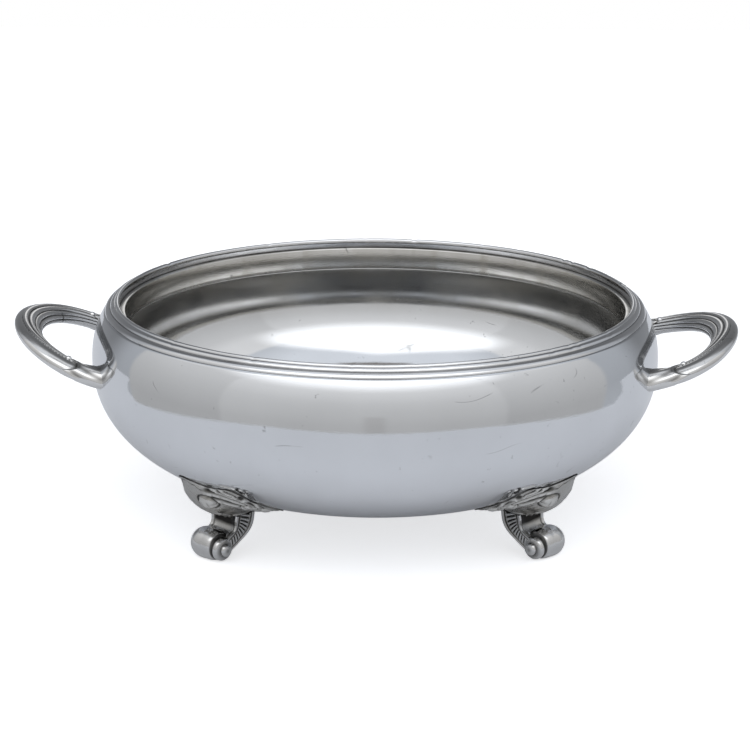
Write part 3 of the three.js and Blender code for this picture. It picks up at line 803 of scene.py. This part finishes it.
def leaf_fan(front_side):
    """The leaf's face with its relief, closed underneath; front_side is 1 or -1."""
    around, deep = 320, 72
    rings, shades = [], []
    for k in range(deep + 1):
        share = lerp(0.02, 1.0, k / deep)
        points, grime_and_shade = [], []
        for i in range(around):
            a = 2 * math.pi * i / around
            reach = edge_reach(a) * share
            u = reach * math.cos(a)
            relief, dirt_and_shade = leaf_relief(reach * math.sin(a) * front_side, u)
            x = reach * math.sin(a) + LEAF_SHIFT * front_side
            stand = dome(x, u) + relief
            stand = lerp(stand, LEAF_EDGE_RISE, smoothstep(0.90, 1.0, share))
            # the long tips are thinner
            stand *= lerp(1.0, 0.45, smoothstep(14.0, 19.0, reach))
            # painted shade along the outline, where the leaf meets the bowl
            dirt_and_shade = max(dirt_and_shade * smoothstep(1.0, 0.96, share), 0.9 * smoothstep(0.99, 1.0, share))
            # the hood is hollowed round the shank's top and rolled along that edge, with painted
            # shade round its opening
            spot = over_bowl(x, u, stand)
            out_along = max(abs(spot.x - SHANK_R) - HOOD_ALONG, 0)
            out_across = max(abs(spot.y) - HOOD_ACROSS, 0)
            away = math.hypot(out_along, out_across)
            stand -= HOOD_HOLLOW * smoothstep(1.7, 0.9, away) * smoothstep(-12, -5, u)
            stand += HOOD_ROLL * bell(away - 2.2, 0.45) * smoothstep(-9, -5, u)
            dirt_and_shade = max(dirt_and_shade, smoothstep(1.9, 1.2, away))
            points.append(over_bowl(x, u, max(stand, LEAF_EDGE_RISE)))
            grime_and_shade.append((dirt_and_shade, 0.25 + 0.3 * dirt_and_shade))
        rings.append(points)
        shades.append(grime_and_shade)
    skirt = []
    for i in range(around):
        a = 2 * math.pi * i / around
        reach = edge_reach(a)
        x = reach * math.sin(a) + LEAF_SHIFT * front_side
        skirt.append(over_bowl(x, reach * math.cos(a), LEAF_UNDER_RISE))
    rings.append(skirt)
    # the closed underside is painted dark as shade
    shades.append([0.95] * around)
    return skinned(rings, shades)


def leaf_stub():
    """A rounded block from the shank's top into the bowl's wall, following its underside."""
    rings = []
    for z, grow in STUB_RINGS:
        ring = []
        for i in range(STUB_SIDES):
            a = 2 * math.pi * i / STUB_SIDES
            c, s = math.cos(a), math.sin(a)
            far = SHANK_R + (STUB_ALONG + grow) * math.copysign(abs(c) ** STUB_POWER, c)
            across = (STUB_ACROSS + grow) * math.copysign(abs(s) ** STUB_POWER, s)
            top = under_height(math.hypot(far, across)) + STUB_IN_WALL
            ring.append(Vector((far, across, top if z is None else z)))
        rings.append(ring)
    # the stub under the hood is painted dark as shade
    return skinned(rings, [[(0.85, 0.4)] * STUB_SIDES] * len(rings))


def make_leaf(name, heading, front_side):
    parts = placed([leaf_fan(front_side), leaf_stub()], Matrix.Rotation(heading, 3, "Z"))
    return outward(join_parts(name, parts, sharp=60))


# Scroll feet: a bolster that stands on a small flat, and a shank that rises from it to the hood

FOOT_R, FOOT_TOP, FLAT = 79.5, 14.75, 0.3
SCROLL_R, NECK_R, NECK_Y = 5.3, 4.35, 3.6
BALL_R, BALL_Y, BALL_HALF_HEIGHT = 5.5, 2.5, 5.4
END_DROP = 0.6
SCROLL_SIDES = 88

# The ring and the knob at the bolster's end: distance from the neck, radius, and grime with
# painted shade in the grooves
SCROLL_END = [
    (0.02, 3.6, 0.7), (0.10, 3.55, 0.7), (0.2, 3.75, 0.25), (0.45, 3.9, 0.0), (1.2, 3.98, 0.0),
    (1.95, 3.9, 0.0), (2.35, 3.65, 0.0), (2.6, 3.2, 0.2), (2.65, 2.0, 0.7), (2.75, 1.9, 0.7),
    (2.85, 2.05, 0.15), (3.1, 2.15, 0.0), (3.7, 2.1, 0.0), (4.1, 1.85, 0.0), (4.35, 1.3, 0.0),
    (4.42, 0.7, 0.15), (4.36, 0.4, 0.4), (4.36, 0.05, 0.4),
]

# The shank's middle line as a cubic curve: outwards from the bolster's axis, up from the table
SHANK_PATH = [(-9.85, FOOT_TOP + 2), (-10.0, 8.9), (-6.1, 7.3), (0.0, 4.3)]
SHANK_WIDTH, SHANK_DEPTH = (13.0, 12.2), (7.9, 4.6)
MILLED_ROWS, MILLED_DEPTH, BORDER_DEPTH = 13, 0.8, 0.25
RIB_HEIGHT, RIB_PITCH = 0.125, 2.4

# The hollow panel: its margin, its depth and how much deeper it is at the top, and its outline
PANEL_MARGIN, PANEL_DEPTH, PANEL_TOP_DEPTH, PANEL_CREASE = 1.4, 1.1, 0.9, 0.3


def make_scroll(ball_side):
    """The bolster, as a skin turned about the foot's Y axis.

    The end on ball_side, which faces the nearer handle, is a plain ball. The other end steps
    down to a ring and a knob.
    """
    stepped = []
    for i in range(19):
        s = i / 18
        r = lerp(NECK_R, SCROLL_R, math.sqrt(max(0.0, 1 - s**2.1)))
        # painted shade in the groove at the neck
        stepped.append((NECK_Y * s, r, 0.8 * smoothstep(0.95, 1.0, s), 0.0))
    stepped += [(NECK_Y + y, r, g, END_DROP) for y, r, g in SCROLL_END]
    rounded = []
    for i in range(9):
        s = i / 8
        rounded.append((BALL_Y * s, lerp(SCROLL_R, BALL_R, smoothstep(0, 1, s)), 0.0, 0.0))
    for i in range(1, 25):
        a = math.radians(3.6 * i)
        rounded.append((BALL_Y + BALL_R * math.sin(a), BALL_R * math.cos(a) ** 0.9, 0.0, 0.0))
    rounded.append((BALL_Y + BALL_R, 0.05, 0.0, 0.0))
    low, high = (rounded, stepped) if ball_side < 0 else (stepped, rounded)
    profile = [(-y, r, g, drop) for y, r, g, drop in low[::-1]] + high[1:]
    rings, shades = [], []
    for y, r, g, drop in profile:
        ring = []
        for i in range(SCROLL_SIDES):
            a = 2 * math.pi * i / SCROLL_SIDES
            z = SCROLL_R - FLAT - drop + min(r, BALL_HALF_HEIGHT) * math.cos(a)
            ring.append(Vector((r * math.sin(a), y, max(z, 0.0))))
        rings.append(ring)
        shades.append([(g, 0.15 + 0.2 * g)] * SCROLL_SIDES)
    return skinned(rings, shades)


def bezier(p0, p1, p2, p3, t):
    """The place and the direction at t of a cubic curve."""
    s = 1 - t
    place = p0 * s**3 + p1 * 3 * s * s * t + p2 * 3 * s * t * t + p3 * t**3
    along = (p1 - p0) * 3 * s * s + (p2 - p1) * 6 * s * t + (p3 - p2) * 3 * t * t
    return place, along.normalized()


def make_shank():
    """The shank, with ribs at the back, milled sides, and a hollow panel on the outer face, and
    painted shade in its cuts, along the panel's crease and under the hood.
    """
    path = [Vector((x, 0, z)) for x, z in SHANK_PATH]
    steps = 110
    side_n, front_n = 34, 44
    rings, shades = [], []
    for k in range(steps + 1):
        t = k / steps
        place, along = bezier(*path, t)
        front = Vector((-along.z, 0, along.x))
        w = lerp(*SHANK_WIDTH, t) / 2
        d = lerp(*SHANK_DEPTH, smoothstep(0.2, 0.65, t)) / 2
        panel = w - PANEL_MARGIN
        deepest = (PANEL_DEPTH + PANEL_TOP_DEPTH * (1 - t)) * (1 - t)
        # painted shadow of the hood over the panel's top, and lighter painted shade lower down
        shadow = max(smoothstep(0.58, 0.34, t), 0.3 * smoothstep(0.8, 0.6, t))
        ring, shade = [], []

        def put(x, y, dirt_and_shade):
            p = place + front * y + Vector((0, x, 0))
            ring.append(Vector((p.x, p.y, min(max(p.z, 0.0), FOOT_TOP))))
            shade.append((dirt_and_shade, 0.2 + 0.3 * dirt_and_shade))

        def milled(v):
            """Cut, and grime with painted shade in the cuts and along the borders, of slanting
            lobes down the side, between two plain borders.
            """
            slope = t * MILLED_ROWS + 0.6 * v
            lobe = math.sin(math.pi * (slope % 1.0)) ** 0.6
            inside = smoothstep(0.62, 0.42, abs(v))
            border = bell(abs(v) - 0.66, 0.1)
            cut = MILLED_DEPTH * inside * (1 - lobe) + BORDER_DEPTH * border
            return cut, max(inside * smoothstep(0.9, 0.35, lobe), border)

        for i in range(front_n):
            x = lerp(-w, w, i / front_n)
            ribs = RIB_HEIGHT * math.sin(x * RIB_PITCH) ** 2
            put(x, -d - ribs, 0.2)
        for i in range(side_n):
            v = 2 * i / side_n - 1
            cut, dirt_and_shade = milled(v)
            put(w - cut, lerp(-d, d, i / side_n), dirt_and_shade)
        for i in range(front_n):
            x = lerp(w, -w, i / front_n)
            depth = abs(x) / panel
            hollow = deepest * max(1 - depth**4, 0.0)
            crease = bell(abs(x) - panel, 0.32)
            dirt_and_shade = max(0.85 * crease, shadow * (depth < 1))
            put(x, d - hollow - PANEL_CREASE * crease, dirt_and_shade)
        for i in range(side_n):
            v = 2 * i / side_n - 1
            cut, dirt_and_shade = milled(-v)
            put(-w + cut, lerp(d, -d, i / side_n), dirt_and_shade)
        rings.append(ring)
        shades.append(shade)
    return skinned(rings, shades)


def make_foot(name, heading, ball_side):
    move = Matrix.Rotation(heading, 4, "Z") @ Matrix.Translation((FOOT_R, 0, 0))
    parts = placed([make_scroll(ball_side), make_shank()], move)
    return outward(join_parts(name, parts, sharp=45))


# Build the dish

# The photographed dish is uneven: its feet are turned about the axis, and its handles' tips stand
# higher or lower and further out or in, millimetres. LEFT_NICK is the place of a dark mark
FEET_TURN = math.radians(1.4)
RIGHT_TILT, RIGHT_STRETCH = -1.1, 0.3
LEFT_TILT, LEFT_STRETCH, LEFT_NICK = 0.9, -0.7, -0.42

bowl_silver = silver("bowl_silver", (0.735, 0.75, 0.775), 0.05, scratch=0.2, blotch=0.04)
rim_silver = silver("rim_silver", (0.75, 0.755, 0.77), 0.07, scratch=0.5)
seat_silver = silver(
    "seat_silver", (0.76, 0.755, 0.74), 0.07, scratch=0.6, blotch=0.1, streak=0.35
)
handle_silver = silver("handle_silver", (0.75, 0.75, 0.755), 0.10, scratch=0.7, blotch=0.08)
leaf_silver = silver("leaf_silver", (0.78, 0.78, 0.775), 0.11, scratch=0.9, blotch=0.2, wave=0.5)
foot_silver = silver("foot_silver", (0.66, 0.665, 0.675), 0.10, scratch=0.9, blotch=0.2, wave=0.4)

dress(make_bowl(), bowl_silver, "bowl")
dress(make_rim(), rim_silver, "reeded_rim")
dress(make_seat(), seat_silver, "seat_ring")
right = make_handle("handle_right_cast", 0.0, RIGHT_TILT, RIGHT_STRETCH)
dress(right, handle_silver, "handle_right")
left = make_handle("handle_left_cast", math.pi, LEFT_TILT, LEFT_STRETCH, LEFT_NICK)
dress(left, handle_silver, "handle_left")
corners = ["back_right", "back_left", "front_left", "front_right"]
for i, corner in enumerate(corners):
    heading = math.pi / 4 + i * math.pi / 2 + FEET_TURN
    handle_side = -1 if i % 2 == 0 else 1
    leaf = make_leaf("leafwork_" + corner, heading, -handle_side)
    dress(leaf, leaf_silver, "leaf_" + corner)
    foot = make_foot("scroll_" + corner, heading, handle_side)
    dress(foot, foot_silver, "foot_" + corner)

# Camera, fitted to the photograph

TARGET = Vector((0.0, 0.0, 47.9 * MM))
ELEVATION = math.radians(16.31)
DISTANCE = 0.720
ROLL = 0.0045
SENSOR_WIDTH = 36.0
PHOTO_PIXELS, FOCAL_PIXELS = 750, 2000

camera_data = bpy.data.cameras.new("camera")
camera_data.sensor_width = SENSOR_WIDTH
camera_data.lens = SENSOR_WIDTH * FOCAL_PIXELS / PHOTO_PIXELS
camera = bpy.data.objects.new("camera", camera_data)
bpy.context.scene.collection.objects.link(camera)
camera.location = TARGET + DISTANCE * Vector((0, -math.cos(ELEVATION), math.sin(ELEVATION)))
aim = Euler((math.pi / 2 - ELEVATION, 0, 0)).to_matrix() @ Matrix.Rotation(ROLL, 3, "Z")
camera.rotation_euler = aim.to_euler()
bpy.context.scene.camera = camera

# Table: a white sheet with rounded front corners that widens behind the dish, millimetres

TABLE_HALF_WIDTH, TABLE_FRONT, TABLE_BACK = 255, 310, 1500
TABLE_FLARE, TABLE_FLARE_LENGTH = 400, 200
TABLE_COLOR = (0.74, 0.755, 0.79)
TABLE_ROUGHNESS = 0.9

# The table's own glow. It is bright for the camera, as in the photograph, and faint in reflections
TABLE_GLOW = (("Is Camera Ray", 0.64), ("Is Glossy Ray", 0.06), ("Is Transmission Ray", 0.06))


def table_outline():
    points = []
    steps = 48
    for i in range(steps + 1):
        a = math.pi * i / steps
        c = math.cos(a)
        x = TABLE_HALF_WIDTH * math.copysign(abs(c) ** (2 / 3), c)
        points.append((x, -TABLE_FRONT * math.sin(a) ** (2 / 3)))
    sides = []
    for y in (40, 80, 120, 160, TABLE_FLARE_LENGTH, TABLE_BACK):
        flare = TABLE_FLARE * smoothstep(0, TABLE_FLARE_LENGTH, y)
        sides.append((TABLE_HALF_WIDTH + flare, y))
    return points + [(-x, y) for x, y in sides] + sides[::-1]


def make_table():
    mesh = bpy.data.meshes.new("table")
    verts = [(x * MM, y * MM, 0.0) for x, y in table_outline()]
    mesh.from_pydata(verts, [], [list(range(len(verts)))[::-1]])
    obj = bpy.data.objects.new("table", mesh)
    bpy.context.scene.collection.objects.link(obj)
    mat = bpy.data.materials.new("table_white")
    mat.use_nodes = True
    nodes, links = mat.node_tree.nodes, mat.node_tree.links
    bsdf = nodes["Principled BSDF"]
    bsdf.inputs["Base Color"].default_value = (*TABLE_COLOR, 1)
    bsdf.inputs["Roughness"].default_value = TABLE_ROUGHNESS
    glow = nodes.new("ShaderNodeEmission")
    path = nodes.new("ShaderNodeLightPath")
    strength = None
    for ray, share in TABLE_GLOW:
        node = nodes.new("ShaderNodeMath")
        node.operation = "MULTIPLY_ADD"
        node.inputs[1].default_value = share
        node.inputs[2].default_value = 0.0
        links.new(path.outputs[ray], node.inputs[0])
        if strength:
            links.new(strength, node.inputs[2])
        strength = node.outputs["Value"]
    links.new(strength, glow.inputs["Strength"])
    add = nodes.new("ShaderNodeAddShader")
    links.new(bsdf.outputs["BSDF"], add.inputs[0])
    links.new(glow.outputs["Emission"], add.inputs[1])
    links.new(add.outputs["Shader"], nodes["Material Output"].inputs["Surface"])
    mesh.materials.append(mat)


# World: the room that the silver reflects, while the camera itself sees white

# Greys by elevation in degrees: beside and behind the dish, and on the two panels in front of it
BESIDE = [
    (-90, 0.45), (-20, 0.50), (-4, 0.45), (20, 0.50), (35, 0.57), (45, 0.65), (55, 0.72),
    (68, 0.90), (90, 0.92),
]
BEHIND = [
    (-90, 0.4), (-10, 0.32), (5, 0.25), (20, 0.20), (40, 0.15), (56, 0.24), (68, 0.84), (90, 0.9),
]
OUTER = [
    (-90, 0.45), (-10, 0.48), (0, 0.53), (10, 0.58), (19, 0.63), (26, 0.68), (33, 0.73),
    (41, 0.86), (58, 0.92), (90, 0.95),
]
INNER = [
    (-90, 0.50), (-10, 0.54), (0, 0.59), (10, 0.63), (19, 0.68), (26, 0.75), (33, 0.82),
    (41, 0.92), (90, 0.95),
]
BESIDE_TINT, BEHIND_TINT = (0.96, 1.0, 1.06), (0.97, 1.0, 1.05)
WINDOW_LIGHT, WINDOW_TINT = 1.75, (0.99, 1.0, 1.01)
LENS_LIGHT, LENS_TINT = 0.28, (1.05, 1.0, 0.95)
STRIP_LIGHT = 1.0

# Places in degrees: where the light behind begins, the bright strip's side, bottom and top, and
# where the dark patch overhead begins
BEHIND_FROM = (116, 136)
STRIP_SIDE, STRIP_BOTTOM, STRIP_TOP = (172, 178), (2, 9), (27, 19)
OVERHEAD_FROM, OVERHEAD_BEHIND = (80, 83), (92, 104)

# The panels' half width, top, corner radius and soft edge, degrees
OUTER_PANEL = (107.0, 54.0, 18.0, 1.2)
INNER_PANEL = (57.0, 41.0, 12.0, 1.0)
LENS_PANEL = (4.0, 2.0, 2.0, 1.8)
LENS_SHARE = 0.22

# The panels and the window stand this far to the left
PANEL_SHIFT = 5

# The window: an ellipse from its middle upwards, fading in below from one elevation to the other
WINDOW_MIDDLE, WINDOW_HEIGHT, WINDOW_HALF_WIDTH = 50, 29, 66
WINDOW_FADE, WINDOW_EDGE_SHARES = (33, 51), (1.16, 0.84)


def make_world():
    world = bpy.data.worlds.new("studio")
    bpy.context.scene.world = world
    world.use_nodes = True
    nodes, links = world.node_tree.nodes, world.node_tree.links
    nodes.clear()
    out = nodes.new("ShaderNodeOutputWorld")
    coords = nodes.new("ShaderNodeTexCoord")
    split = nodes.new("ShaderNodeSeparateXYZ")
    links.new(coords.outputs["Generated"], split.inputs["Vector"])

    def op(kind, a, b=0.0):
        node = nodes.new("ShaderNodeMath")
        node.operation = kind
        for socket, value in zip(node.inputs, (a, b)):
            if isinstance(value, (int, float)):
                socket.default_value = value
            else:
                links.new(value, socket)
        return node.outputs["Value"]

    def length(a, b):
        return op("SQRT", op("ADD", op("MULTIPLY", a, a), op("MULTIPLY", b, b)))

    def soft(value, low, high):
        node = nodes.new("ShaderNodeMapRange")
        node.interpolation_type = "SMOOTHSTEP"
        node.inputs["From Min"].default_value = low
        node.inputs["From Max"].default_value = high
        links.new(value, node.inputs["Value"])
        return node.outputs["Result"]

    def fade(angle, low, high):
        """0 at low and 1 at high, both in degrees."""
        return soft(angle, math.radians(low), math.radians(high))

    def panel(across, above, half_width, top, corner, edge):
        """1 inside a panel with rounded upper corners, in degrees."""
        p = op("SUBTRACT", across, math.radians(half_width - corner))
        q = op("SUBTRACT", above, math.radians(top - corner))
        reach = length(op("MAXIMUM", p, 0.0), op("MAXIMUM", q, 0.0))
        inside = op("MINIMUM", op("MAXIMUM", p, q), 0.0)
        gap = op("SUBTRACT", op("ADD", reach, inside), math.radians(corner))
        return fade(gap, edge, -edge)

    def levels(stops, tint=(1.0, 1.0, 1.0)):
        """A grey for each elevation in degrees, from -90 to 90."""
        ramp = nodes.new("ShaderNodeValToRGB")
        elements = ramp.color_ramp.elements
        while len(elements) < len(stops):
            elements.new(0.5)
        for element, (degrees, value) in zip(elements, stops):
            element.position = (degrees + 90) / 180
            element.color = (*[value * c for c in tint], 1)
        share = op("ADD", op("DIVIDE", elevation, math.pi), 0.5)
        links.new(share, ramp.inputs["Fac"])
        return ramp.outputs["Color"]

    def plain(light, tint=(1.0, 1.0, 1.0)):
        node = nodes.new("ShaderNodeRGB")
        node.outputs["Color"].default_value = (*[light * c for c in tint], 1)
        return node.outputs["Color"]

    def mix(factor, a, b):
        node = nodes.new("ShaderNodeMix")
        node.data_type = "RGBA"
        links.new(factor, node.inputs["Factor"])
        links.new(a, node.inputs["A"])
        links.new(b, node.inputs["B"])
        return node.outputs["Result"]

    x, y, z = split.outputs["X"], split.outputs["Y"], split.outputs["Z"]
    turn = op("ARCTAN2", x, op("MULTIPLY", y, -1.0))
    azimuth = op("ABSOLUTE", turn)
    shifted = op("ABSOLUTE", op("ADD", turn, math.radians(PANEL_SHIFT)))
    elevation = op("ARCSINE", z)

    beside, behind = levels(BESIDE, BESIDE_TINT), levels(BEHIND, BEHIND_TINT)
    light = mix(fade(azimuth, *BEHIND_FROM), beside, behind)
    # a bright upright strip in the middle behind
    upright = op("MULTIPLY", fade(elevation, *STRIP_BOTTOM), fade(elevation, *STRIP_TOP))
    light = mix(op("MULTIPLY", fade(azimuth, *STRIP_SIDE), upright), light, plain(STRIP_LIGHT))
    # the panels in front
    light = mix(panel(shifted, elevation, *OUTER_PANEL), light, levels(OUTER))
    light = mix(panel(shifted, elevation, *INNER_PANEL), light, levels(INNER))
    # the window above them
    above = op("MAXIMUM", op("SUBTRACT", elevation, math.radians(WINDOW_MIDDLE)), 0.0)
    rise = op("DIVIDE", above, math.radians(WINDOW_HEIGHT))
    width = op("DIVIDE", shifted, math.radians(WINDOW_HALF_WIDTH))
    inside = soft(length(rise, width), *WINDOW_EDGE_SHARES)
    window = plain(WINDOW_LIGHT, WINDOW_TINT)
    light = mix(op("MULTIPLY", fade(elevation, *WINDOW_FADE), inside), light, window)
    # the camera in front, and a dark patch overhead towards the back
    lens = plain(LENS_LIGHT, LENS_TINT)
    light = mix(op("MULTIPLY", panel(azimuth, elevation, *LENS_PANEL), LENS_SHARE), light, lens)
    high, back = fade(elevation, *OVERHEAD_FROM), fade(azimuth, *OVERHEAD_BEHIND)
    light = mix(op("MULTIPLY", high, back), light, lens)

    studio = nodes.new("ShaderNodeBackground")
    links.new(light, studio.inputs["Color"])
    studio.inputs["Strength"].default_value = 1.0
    white = nodes.new("ShaderNodeBackground")
    white.inputs["Color"].default_value = (1, 1, 1, 1)
    path = nodes.new("ShaderNodeLightPath")
    shown = nodes.new("ShaderNodeMixShader")
    links.new(path.outputs["Is Camera Ray"], shown.inputs["Fac"])
    links.new(studio.outputs["Background"], shown.inputs[1])
    links.new(white.outputs["Background"], shown.inputs[2])
    links.new(shown.outputs["Shader"], out.inputs["Surface"])


make_table()
make_world()

scene = bpy.context.scene
scene.view_settings.view_transform = "Standard"
